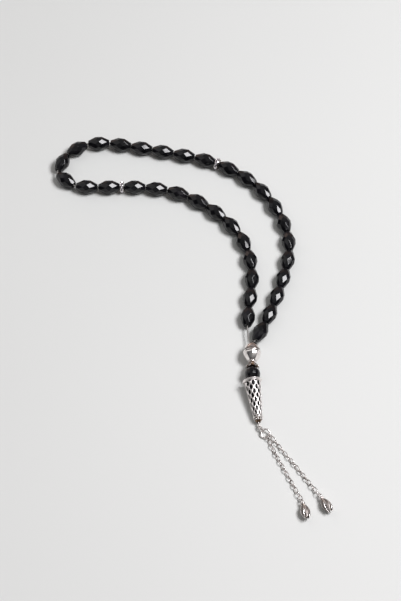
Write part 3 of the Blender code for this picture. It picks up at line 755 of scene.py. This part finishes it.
class MISBAHA_OT_beads(bpy.types.Operator):
    """Cut one oval bead from a round bar and string its copies"""
    bl_idname = "misbaha.beads"
    bl_label = "Oval beads"

    def execute(self, context):
        settings = context.scene.misbaha
        material = glass_finish("black_glass", settings.colours)
        bead = self.cut(settings.beads)
        for body in BEADS:
            copy = copied(bead, body.replace("bead_", "oval_bead_"),
                          hanging(pivot(body), axis(body)))
            dress(copy, material, body, "black_glass", body)
        discard(bead)
        return {'FINISHED'}

    def cut(self, sizes):
        step = 2 * math.pi / sizes.sides
        flat = math.cos(step / 2)
        deselect()
        bpy.ops.mesh.primitive_cylinder_add(vertices=sizes.sides, radius=sizes.waist,
                                            depth=sizes.bead_length)
        bead = named("cut_bead")
        edit(bead)
        bpy.ops.transform.rotate(value=step / 2, orient_axis='Z', center_override=(0, 0, 0))
        fall = sizes.waist - sizes.shoulder
        upper_height = sizes.shoulder_height * sizes.waist * (1 - flat ** 2) / fall
        upper_radius = sizes.waist * flat
        upper = (sizes.waist, 0.0, sizes.shoulder_height, fall)
        end = (upper_radius, upper_height, sizes.shoulder_height - upper_height,
               upper_radius - sizes.shoulder * flat)
        for (radius, height, rise, drop), offset in ((upper, 0.5), (end, 0.0)):
            for side in range(sizes.sides):
                angle = step * (side + offset)
                for sign in (1, -1):
                    out = Vector((math.cos(angle), math.sin(angle), 0))
                    bpy.ops.mesh.select_all(action='SELECT')
                    bpy.ops.mesh.bisect(
                        plane_co=out * radius + UP * height * sign,
                        plane_no=(out * rise + UP * drop * sign).normalized(),
                        use_fill=True, clear_outer=True, threshold=0.0000005)
        bpy.ops.mesh.select_all(action='SELECT')
        bpy.ops.mesh.remove_doubles(threshold=CUT_MERGE)
        bpy.ops.mesh.dissolve_limited(angle_limit=math.radians(0.6))
        done()
        drilled(bead, sizes.bore, sizes.bead_length * 2)
        bevelled(bead, sizes.edge, 2, 6.0)
        return bead


class MISBAHA_OT_spacers(bpy.types.Operator):
    """Set a ring of clear stones round each silver spacer"""
    bl_idname = "misbaha.spacers"
    bl_label = "Crystal spacers"

    def execute(self, context):
        colours = context.scene.misbaha.colours
        rondelle = self.rondelle()
        silver = silver_finish("spacer_silver", colours, 0.14, cavities(rondelle))
        crystal = crystal_finish("clear_stones", colours)
        stones = self.stones()
        for body in ("spacer_1", "spacer_2"):
            place = hanging(pivot(body), axis(body))
            ring = copied(rondelle, body.replace("spacer", "rondelle"), place)
            dress(ring, silver, body, "crystal_silver", body)
            gems = copied(stones, body.replace("spacer", "stones"), place)
            dress(gems, crystal, body, "crystal_silver")
        discard(rondelle, stones)
        return {'FINISHED'}

    def rondelle(self):
        ring = lathe("rondelle", [
            (0.95, 0.90), (2.55, 0.90), (2.95, 0.82), (3.05, 0.60), (2.70, 0.42), (2.70, -0.42),
            (3.05, -0.60), (2.95, -0.82), (2.55, -0.90), (0.95, -0.90)], 40)
        return smooth(ring)

    def stones(self):
        """Brilliant stones whose tables face outwards."""
        bpy.ops.mesh.primitive_cone_add(vertices=8, radius1=0.72 * MM, radius2=0.40 * MM,
                                        depth=0.34 * MM)
        stone = named("stone")
        placed(stone, Matrix.Translation((STONE_REACH * MM, 0, 0))
               @ Matrix.Rotation(math.pi / 2, 4, 'Y'))
        return around_axis("stones", stone, STONES)


# ------------------------------------------------------------------ leader, cap and ball

DOME_RADIUS, DOME_HEIGHT, DOME_BASE = 4.25, 5.9, -3.5
HOLLOW_RADIUS, HOLLOW_HEIGHT = 3.5, 5.0
NECK_RADIUS, NECK_WIRE, NECK_HEIGHT = 1.66, 0.24, -8.98
PETALS = 6
BALL_BORE = 0.9
# Count, radius, distance from the axis and height of the grains round the cap
CAP_GRAINS = (18, 0.26, 1.86, -10.05)


def leader_place():
    return hanging(KNOT, axis("leader_bead"))


def arc(radius, height, first, step, count):
    """Points of (radius, height) on an oval about the dome's base, at steps in degrees."""
    angles = [math.radians(first + step * number) for number in range(count)]
    return [(radius * math.sin(angle), DOME_BASE + height * math.cos(angle)) for angle in angles]


class MISBAHA_OT_leader(bpy.types.Operator):
    """Turn the hollow leader: polished dome, rolled band and a faceted taper"""
    bl_idname = "misbaha.leader"
    bl_label = "Leader bead"

    def execute(self, context):
        colours = context.scene.misbaha.colours
        leader = joined("leader_dome", [self.dome(), self.taper()])
        silver = silver_finish("leader_silver", colours, 0.12, cavities(leader))
        placed(leader, leader_place())
        dress(leader, silver, "leader_bead", "silver", "leader_bead")
        return {'FINISHED'}

    def dome(self):
        outline = arc(DOME_RADIUS, DOME_HEIGHT, 20.0, 7.0, 11)
        outline += [(4.50, -3.56), (4.62, -3.72), (4.62, -4.06), (4.50, -4.22), (4.18, -4.30),
                    (3.70, -4.32), (3.52, -3.60)]
        outline += arc(HOLLOW_RADIUS, HOLLOW_HEIGHT, 86.0, -9.0, 8)
        outline += [(1.34, 1.42), (1.32, 1.80)]
        return smooth(lathe("dome", outline, 72), 50.0)

    def taper(self):
        """Ten broad flats from the band down to the neck, and a wire round the neck."""
        body = lathe("taper", [
            (3.55, -4.36), (4.40, -4.40), (4.62, -4.68), (4.58, -5.25), (4.12, -6.40),
            (3.22, -7.75), (2.26, -8.80), (1.62, -9.06), (1.62, -9.40), (0.90, -9.40),
            (0.90, -7.30), (2.60, -6.20)], 10)
        bevelled(body, 0.10 * MM, 3, 12.0)
        smooth(body, 24.0)
        bpy.ops.mesh.primitive_torus_add(major_segments=40, minor_segments=10,
                                         major_radius=NECK_RADIUS * MM,
                                         minor_radius=NECK_WIRE * MM)
        neck = named("neck_wire")
        placed(neck, Matrix.Translation((0, 0, NECK_HEIGHT * MM)))
        smooth(neck)
        return joined("taper", [body, neck])


class MISBAHA_OT_flower_cap(bpy.types.Operator):
    """Shape the flower cap whose petals close on the ball"""
    bl_idname = "misbaha.flower_cap"
    bl_label = "Flower cap"

    def execute(self, context):
        colours = context.scene.misbaha.colours
        collar = lathe("collar", [
            (0.95, -9.72), (1.55, -9.72), (1.82, -9.86), (1.92, -10.05), (1.82, -10.24),
            (1.60, -10.40), (1.52, -10.62), (1.62, -10.85), (2.05, -11.15), (2.55, -11.50),
            (2.82, -11.90), (2.88, -12.30), (2.75, -12.58), (2.10, -12.66), (0.95, -12.60)], 48)
        smooth(collar, 50.0)
        petal = leaf("petal", [(-10.70, 0.34, 1.72), (-10.95, 0.66, 2.40), (-11.45, 0.90, 3.02),
                               (-12.2, 0.92, 3.36), (-13.0, 0.60, 3.52), (-13.6, 0.14, 3.60)],
                     0.30, 0.36)
        rounded(petal)
        petals = around_axis("petals", petal, PETALS, 180.0 / PETALS)
        smooth(petals, 60.0)
        cap = joined("flower_cap", [petals, grains(*CAP_GRAINS)])
        silver = silver_finish("cap_silver", colours, 0.20, cavities(cap))
        placed(cap, leader_place())
        dress(cap, silver, "flower_cap", "silver", "leader_flower_cap")
        placed(collar, leader_place())
        dress(collar, gilt_finish("cap_ground", colours), "flower_cap", "silver")
        return {'FINISHED'}


class MISBAHA_OT_ball(bpy.types.Operator):
    """Cut the round faceted ball under the flower cap"""
    bl_idname = "misbaha.ball"
    bl_label = "Faceted ball"

    def execute(self, context):
        settings = context.scene.misbaha
        material = glass_finish("ball_glass", settings.colours)
        deselect()
        low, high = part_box("leader_ball")
        radius = (high.x - low.x) / 2
        bpy.ops.mesh.primitive_uv_sphere_add(segments=16, ring_count=10, radius=radius)
        ball = named("cut_ball")
        drilled(ball, BALL_BORE * MM, radius * 4)
        bevelled(ball, 0.09 * MM, 2, 8.0)
        placed(ball, hanging((low + high) / 2, axis("leader_ball")))
        dress(ball, material, "leader_ball", "black_glass", "leader_ball")
        return {'FINISHED'}


# ------------------------------------------------------------------ lattice cone

DIAMONDS, ROWS = 8, 9
NET_TOP, NET_FOOT, NET_WIRE = 1.65, -18.6, 0.42
MOUTH_HEIGHT, MOUTH_RADIUS = 1.3, 4.2
FOOT_RADIUS, TAPER_LENGTH = 2.15, 20.2
CAP_PETALS = 8

class MISBAHA_OT_cone(bpy.types.Operator):
    """Weave the lattice cone with its rim, its black core and its end cap"""
    bl_idname = "misbaha.cone"
    bl_label = "Lattice cone"

    def execute(self, context):
        colours = context.scene.misbaha.colours
        place = hanging(pivot("cone"), axis("cone"))
        cone = joined("lattice_cone", [self.net(), self.rim(), self.foot()])
        silver = silver_finish("cone_silver", colours, 0.34)
        placed(cone, place)
        dress(cone, silver, "cone", "silver", "cone_lattice")
        ground, petals = self.end_cap()
        placed(ground, place)
        dress(ground, gilt_finish("end_cap_ground", colours), "cone", "silver", "cone_end_cap")
        silver = silver_finish("end_cap_silver", colours, 0.22, cavities(petals))
        placed(petals, place)
        dress(petals, silver, "cone", "silver")
        dress_node("cone_core", glass_finish("core_enamel", colours, 0.38, 0.12))
        return {'FINISHED'}

    def net(self):
        """Diamonds round a tapering tube: four-sided faces whose edges become wires."""
        faces, points = [], []
        for level in range(ROWS + 1):
            height = NET_TOP + (NET_FOOT - NET_TOP) * level / ROWS
            share = (MOUTH_HEIGHT - height) / TAPER_LENGTH
            radius = (MOUTH_RADIUS + (FOOT_RADIUS - MOUTH_RADIUS) * share) * MM
            for side in range(DIAMONDS):
                angle = math.pi / DIAMONDS * (2 * side + level % 2)
                points.append((radius * math.cos(angle), radius * math.sin(angle), height * MM))
        for level in range(ROWS - 1):
            for side in range(DIAMONDS):
                shift = side + 1 if level % 2 else side
                below = (level + 1) * DIAMONDS
                faces.append((level * DIAMONDS + side, below + (shift - 1) % DIAMONDS,
                              (level + 2) * DIAMONDS + side, below + shift % DIAMONDS))
        mesh = bpy.data.meshes.new("net")
        mesh.from_pydata(points, [], faces)
        net = bpy.data.objects.new("net", mesh)
        bpy.context.collection.objects.link(net)
        worked(net, 'WIREFRAME', thickness=NET_WIRE * MM, use_even_offset=True, use_boundary=True,
               use_replace=True)
        rounded(net, 2)
        return smooth(outward(net), 80.0)

    def rim(self):
        rim = lathe("rim", [
            (3.90, 1.98), (4.60, 2.00), (4.92, 1.92), (5.00, 1.72), (4.94, 1.52), (4.66, 1.36),
            (4.50, 1.22), (4.42, 0.95), (4.10, 0.88), (3.90, 1.10)], 56)
        return smooth(rim, 60.0)

    def foot(self):
        foot = lathe("foot", [
            (1.92, -18.25), (2.30, -18.22), (2.50, -18.34), (2.52, -18.55), (2.50, -18.78),
            (2.34, -18.90), (1.92, -18.90)], 48)
        return smooth(foot, 60.0)

    def end_cap(self):
        body = lathe("end_cap", [
            (0.66, -19.22), (1.90, -19.22), (1.98, -19.40), (1.72, -19.72), (1.50, -19.95),
            (1.62, -20.15), (1.50, -20.36), (1.10, -20.62), (0.98, -20.85), (1.08, -21.02),
            (0.98, -21.18), (0.66, -21.20)], 40)
        smooth(body, 50.0)
        petal = leaf("cap_petal", [(-19.24, 0.62, 1.98), (-19.55, 0.78, 2.24),
                                   (-19.95, 0.62, 2.10), (-20.30, 0.18, 1.72)], 0.45, 0.26)
        rounded(petal)
        return body, smooth(around_axis("cap_petals", petal, CAP_PETALS), 60.0)


# ------------------------------------------------------------------ links, ring and chains

PLAY = 0.2
FOOT_EYE_RADIUS, FOOT_EYE_WIRE, FOOT_EYE_DEPTH = 0.95, 0.35, -22.9
CONNECTOR_WIDTH, CONNECTOR_LENGTH, CONNECTOR_WIRE = 1.6, 2.45, 0.25
RING_RADIUS, RING_WIRE, RING_TILT = 2.2, 0.45, math.radians(22.0)
RUNS = (1, 2, 3, 4)

class MISBAHA_OT_links(bpy.types.Operator):
    """Bend the eye pin, the connector links and the jump ring"""
    bl_idname = "misbaha.links"
    bl_label = "Pin, links and ring"

    def execute(self, context):
        colours = context.scene.misbaha.colours
        silver = silver_finish("link_silver", colours, 0.20, age=0.35)
        self.pin(silver)
        self.connectors(silver)
        self.ring(silver)
        return {'FINISHED'}

    def pin(self, silver):
        top = wire_loop("top_eye", 0.8, 0.3)
        foot = wire_loop("foot_eye", FOOT_EYE_RADIUS, FOOT_EYE_WIRE)
        placed(foot, Matrix.Translation((0, 0, FOOT_EYE_DEPTH * MM))
               @ Matrix.Rotation(math.pi / 2, 4, 'Z'))
        rod = lathe("rod", [(0.30, -0.9), (0.35, -1.0), (0.35, -21.7), (0.30, -21.9)], 16, False)
        pin = smooth(joined("eye_pin", [rod, top, foot]), 60.0)
        placed(pin, hanging(pivot("cone_pin"), axis("cone")))
        dress(pin, silver, "cone_pin", "silver", "cone_pin")

    def connectors(self, silver):
        """Each link runs from its own wire to the next link's or the ring's."""
        link = wire_loop("connector", CONNECTOR_WIDTH / 2, CONNECTOR_WIRE,
                         CONNECTOR_LENGTH - CONNECTOR_WIDTH)
        placed(link, Matrix.Translation((0, 0, -CONNECTOR_LENGTH / 2 * MM)))
        smooth(link, 60.0)
        second, post = pivot("connector_link_2"), pivot("tassel_ring")
        second_way = (post - second).normalized()
        eye = pivot("connector_link_1")
        first_way = (second + second_way * (2 * CONNECTOR_WIRE + PLAY) * MM - eye).normalized()
        first = eye - first_way * (FOOT_EYE_WIRE + CONNECTOR_WIRE + PLAY) * MM
        for number, (start, way, roll) in enumerate(
                ((first, first_way, 0.0), (second, second_way, math.pi / 2)), 1):
            body = f"connector_link_{number}"
            copy = copied(link, f"small_link_{number}", hanging(start, way, roll))
            dress(copy, silver, body, "silver", body)
        discard(link)

    def ring(self, silver):
        low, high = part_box("tassel_ring")
        ring = wire_loop("jump_ring", RING_RADIUS, RING_WIRE, around=64, across=16)
        placed(ring, Matrix.Rotation(math.pi / 2, 4, 'X'))
        placed(ring, Matrix.Translation((low + high) / 2)
               @ Matrix.Rotation(RING_TILT, 4, 'X'))
        dress(smooth(ring, 60.0), silver, "tassel_ring", "silver", "tassel_ring")


def chain_pivots(side):
    """Where each run of a chain turns, and where its charm hangs."""
    return [pivot(f"chain_{side}_{run}") for run in RUNS] + [pivot(f"charm_{side}")]


class MISBAHA_OT_chains(bpy.types.Operator):
    """Link the two fine chains, each link its own wire"""
    bl_idname = "misbaha.chains"
    bl_label = "Cable chains"

    def execute(self, context):
        settings = context.scene.misbaha
        sizes = settings.chain
        silver = silver_finish("chain_silver", settings.colours, 0.26, age=0.75)
        straight = sizes.link_length - sizes.link_width
        link = wire_loop("link", sizes.link_width / 2 / MM, sizes.link_wire_seen / MM,
                         straight / MM, around=20, across=10)
        placed(link, Matrix.Translation((0, 0, -sizes.link_length / 2)))
        smooth(link, 60.0)
        for side in SIDES:
            hold = sizes.ring_wire + sizes.link_wire + sizes.gap
            pivots = chain_pivots(side)
            for run, (start, end) in enumerate(zip(pivots, pivots[1:]), 1):
                body = f"chain_{side}_{run}"
                piece = self.run(link, body, start, end, hold, sizes)
                dress(piece, silver, body, "silver", body)
                hold = sizes.link_wire + sizes.gap / 2
        discard(link)
        return {'FINISHED'}

    def run(self, link, body, start, end, hold, sizes):
        """Links one through another along one run, turned a quarter each time."""
        pitch = sizes.link_length - 2 * sizes.link_wire + sizes.overlap
        reach = (end - start).length + hold + sizes.link_wire + sizes.gap / 2
        count = round((reach - sizes.link_length) / pitch) + 1
        place = hanging(start, end - start) @ Matrix.Translation((0, 0, hold))
        links = []
        for number in range(count):
            roll = math.radians(45.0 if number % 2 == 0 else -45.0)
            links.append(copied(link, body, place @ Matrix.Translation((0, 0, -pitch * number))
                                @ Matrix.Rotation(roll, 4, 'Z')))
        return joined(body.replace("chain_", "cable_"), links)


LOOP_RADIUS, LOOP_WIRE, LOOP_PLAY = 0.95, 0.28, 0.1
# Heading and roll of each charm in degrees; every charm tips up by a slope
CHARM_WAYS = (("left", 12.8, 45.0), ("right", 29.0, -45.0))
CHARM_SLOPE = -6.0
LEAVES, LEAF_TWIST, VEIN_DEPTH = 5, math.radians(62.0), 0.22
VEIN_REACH = 1.0
BUD_GRAINS = (10, 0.22, 1.12, -2.51)


class MISBAHA_OT_charms(bpy.types.Operator):
    """Cast the leaf-bud charms"""
    bl_idname = "misbaha.charms"
    bl_label = "Leaf-bud charms"

    def execute(self, context):
        colours = context.scene.misbaha.colours
        heart, leaves = self.bud()
        silver = silver_finish("charm_silver", colours, 0.24, cavities(leaves))
        ground = gilt_finish("bud_ground", colours)
        for side, way, roll in CHARM_WAYS:
            body = f"charm_{side}"
            hold = Matrix.Translation((0, 0, (LOOP_WIRE + LOOP_PLAY) * MM))
            place = hanging(pivot(body), heading(way, CHARM_SLOPE), math.radians(roll)) @ hold
            dress(copied(leaves, f"leaf_bud_{side}", place), silver, body, "silver", body)
            dress(copied(heart, f"bud_heart_{side}", place), ground, body, "silver")
        discard(heart, leaves)
        return {'FINISHED'}

    def bud(self):
        """A loop, a collar, and five pointed leaves twisted over a closed heart."""
        loop = wire_loop("loop", LOOP_RADIUS, LOOP_WIRE)
        placed(loop, Matrix.Translation((0, 0, -LOOP_RADIUS * MM)))
        smooth(loop, 60.0)
        heart = lathe("heart", [
            (0.40, -1.90), (0.70, -2.00), (0.75, -3.10), (0.95, -3.70), (1.40, -4.60),
            (1.80, -5.70), (1.92, -7.00), (1.66, -8.40), (1.05, -9.60), (0.35, -10.4)],
            32, False)
        smooth(heart, 60.0)
        petal = leaf("bud_leaf", [
            (-3.2, 0.40, 0.90), (-4.1, 0.80, 1.50), (-5.2, 1.14, 2.10), (-6.5, 1.34, 2.50),
            (-7.9, 1.30, 2.56), (-9.2, 1.02, 2.24), (-10.4, 0.62, 1.66), (-11.4, 0.12, 1.10)],
            0.42, 0.42)
        self.crease(petal)
        rounded(petal)
        leaves = around_axis("leaves", petal, LEAVES)
        worked(leaves, 'SIMPLE_DEFORM', deform_method='TWIST', deform_axis='Z', angle=LEAF_TWIST)
        smooth(leaves, 50.0)
        return heart, joined("leaves", [leaves, loop, self.collar()])

    def collar(self):
        """Ribbed collar under the loop, with a row of grains."""
        collar = smooth(lathe("collar", [
            (0.80, -1.92), (1.10, -2.05), (1.18, -2.25), (1.02, -2.42), (1.02, -2.60),
            (1.18, -2.78), (1.10, -2.98), (0.80, -3.10)], 24), 50.0)
        return joined("collar", [collar, grains(*BUD_GRAINS)])

    def crease(self, petal):
        """Sink a vein down the middle of the leaf."""
        edit(petal, everything=False)
        choose(petal, lambda place: abs(place.x) < 0.01 * MM and -place.y > VEIN_REACH * MM)
        bpy.ops.transform.translate(value=(0, VEIN_DEPTH * MM, 0))
        done()


# ------------------------------------------------------------------ panel and run

class MISBAHA_PT_panel(bpy.types.Panel):
    """Sizes, colours and the pieces in the order they are made"""
    bl_idname = "MISBAHA_PT_panel"
    bl_label = "Misbaha prayer beads"
    bl_space_type = 'VIEW_3D'
    bl_region_type = 'UI'
    bl_category = "Misbaha"

    def draw(self, context):
        settings = context.scene.misbaha
        for group in (settings.stage, settings.beads, settings.cord, settings.chain,
                      settings.colours):
            box = self.layout.box()
            for name in group.__annotations__:
                box.prop(group, name)
        for operator in OPERATORS:
            self.layout.operator(operator.bl_idname)


OPERATORS = (
    MISBAHA_OT_stage, MISBAHA_OT_cord, MISBAHA_OT_beads, MISBAHA_OT_spacers, MISBAHA_OT_leader,
    MISBAHA_OT_flower_cap, MISBAHA_OT_ball, MISBAHA_OT_cone, MISBAHA_OT_links,
    MISBAHA_OT_chains, MISBAHA_OT_charms,
)
CLASSES = (
    MisbahaBeadSizes, MisbahaCordSizes, MisbahaChainSizes, MisbahaColours, MisbahaStageSettings,
    MisbahaSettings, *OPERATORS, MISBAHA_PT_panel,
)


def register():
    for cls in CLASSES:
        bpy.utils.register_class(cls)
    bpy.types.Scene.misbaha = PointerProperty(type=MisbahaSettings)


def unregister():
    del bpy.types.Scene.misbaha
    for cls in reversed(CLASSES):
        bpy.utils.unregister_class(cls)


def main():
    register()
    for operator in OPERATORS:
        group, name = operator.bl_idname.split(".")
        getattr(getattr(bpy.ops, group), name)()


if __name__ == "__main__":
    main()
